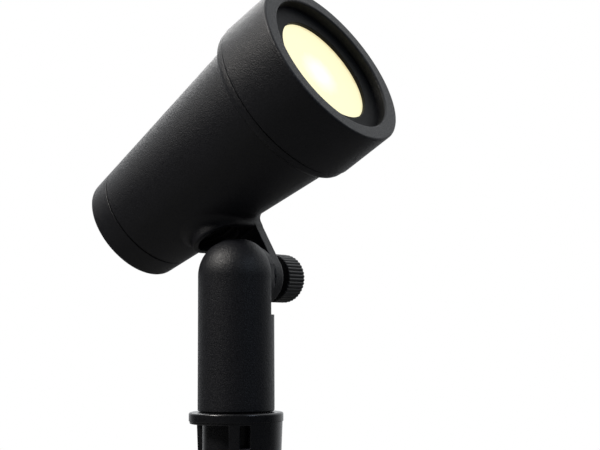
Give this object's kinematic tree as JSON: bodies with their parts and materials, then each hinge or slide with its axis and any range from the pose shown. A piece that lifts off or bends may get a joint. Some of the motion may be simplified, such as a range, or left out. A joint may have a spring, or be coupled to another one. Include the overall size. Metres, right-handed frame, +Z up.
{
  "type": "garden spike spotlight",
  "caption": "Black garden spotlight: tapered round head with a deep front ring on a toothed knuckle stem with a thumb screw, standing on a ground spike.",
  "frame": {"origin": "on the stem's axis, at the underside of the spike's flange, where the spike enters the ground", "axes": "+Z up along the stem; +X the way the head aims, in plan; +Y the side the thumb screw is on"},
  "size_m": [0.1273, 0.0698, 0.3686],
  "materials": {
    "black_powder_coat": "fine-textured black powder coat over die-cast aluminium",
    "black_moulded_plastic": "glossy black moulded plastic",
    "black_knob_plastic": "satin black plastic with fine ribs",
    "black_rubber": "matt black rubber",
    "zinc_steel": "zinc-plated steel",
    "brass_pins": "plain brass",
    "white_ceramic": "unglazed white ceramic, stated as matt plastic",
    "lens_glass": "frosted glass, lit warm white from behind",
    "lamp_glass": "clear lamp glass",
    "reflector_glass": "mirrored lamp bowl, stated as aluminium",
    "mask_black": "flat black coated steel"
  },
  "bodies": {
    "spike": {"spike_stake": "black_moulded_plastic"},
    "stem": {"stem_casting": "black_powder_coat", "thread_nipple": "zinc_steel", "stem_grommet": "black_rubber"},
    "head": {"head_housing": "black_powder_coat", "rear_cap": "black_powder_coat", "rear_cap_oring": "black_rubber", "cowl_oring": "black_rubber", "hood_grommet": "black_rubber", "holder_bracket": "zinc_steel", "holder_screw_1": "zinc_steel", "holder_screw_2": "zinc_steel", "lamp_holder": "white_ceramic", "lamp_base": "white_ceramic", "lamp_pin_1": "brass_pins", "lamp_pin_2": "brass_pins", "lamp_body": "reflector_glass", "lamp_face": "lamp_glass"},
    "lens_pack": {"lens_glass": "lens_glass", "lens_gasket": "black_rubber", "mask_ring": "mask_black"},
    "cowl": {"cowl": "black_powder_coat"},
    "clamp_washer": {"clamp_washer": "zinc_steel"},
    "thumb_screw": {"thumb_knob": "black_knob_plastic", "thumb_screw_shank": "zinc_steel"}
  },
  "joints": [
    {"name": "stem_swivel", "type": "hinge", "parent": "spike", "child": "stem", "pos_m": [0, 0, 0], "axis": [0, 0, 1], "range_deg": [-180, 180]},
    {"name": "head_tilt", "type": "hinge", "parent": "stem", "child": "head", "pos_m": [0, 0, 0.0552], "axis": [0, -1, 0], "range_deg": [-75, 60]},
    {"name": "cowl_travel", "type": "slide", "parent": "head", "child": "lens_pack", "axis": [0.866, 0, 0.5], "range_m": [0, 0.0091]},
    {"name": "cowl_turn", "type": "hinge", "parent": "lens_pack", "child": "cowl", "pos_m": [0.02891, 0.0027, 0.12512], "axis": [0.866, 0, 0.5], "range_deg": [0, 2160]},
    {"name": "screw_travel", "type": "slide", "parent": "stem", "child": "clamp_washer", "axis": [0, 1, 0], "range_m": [0, 0.006]},
    {"name": "screw_turn", "type": "hinge", "parent": "clamp_washer", "child": "thumb_screw", "pos_m": [0, 0, 0.0552], "axis": [0, 1, 0], "range_deg": [0, 2165]}
  ],
  "couplings": [
    {"joint": "cowl_travel", "follows": "cowl_turn", "m_per_rad": 0.00023873},
    {"joint": "screw_turn", "follows": "screw_travel", "rad_per_m": 6283.2}
  ]
}
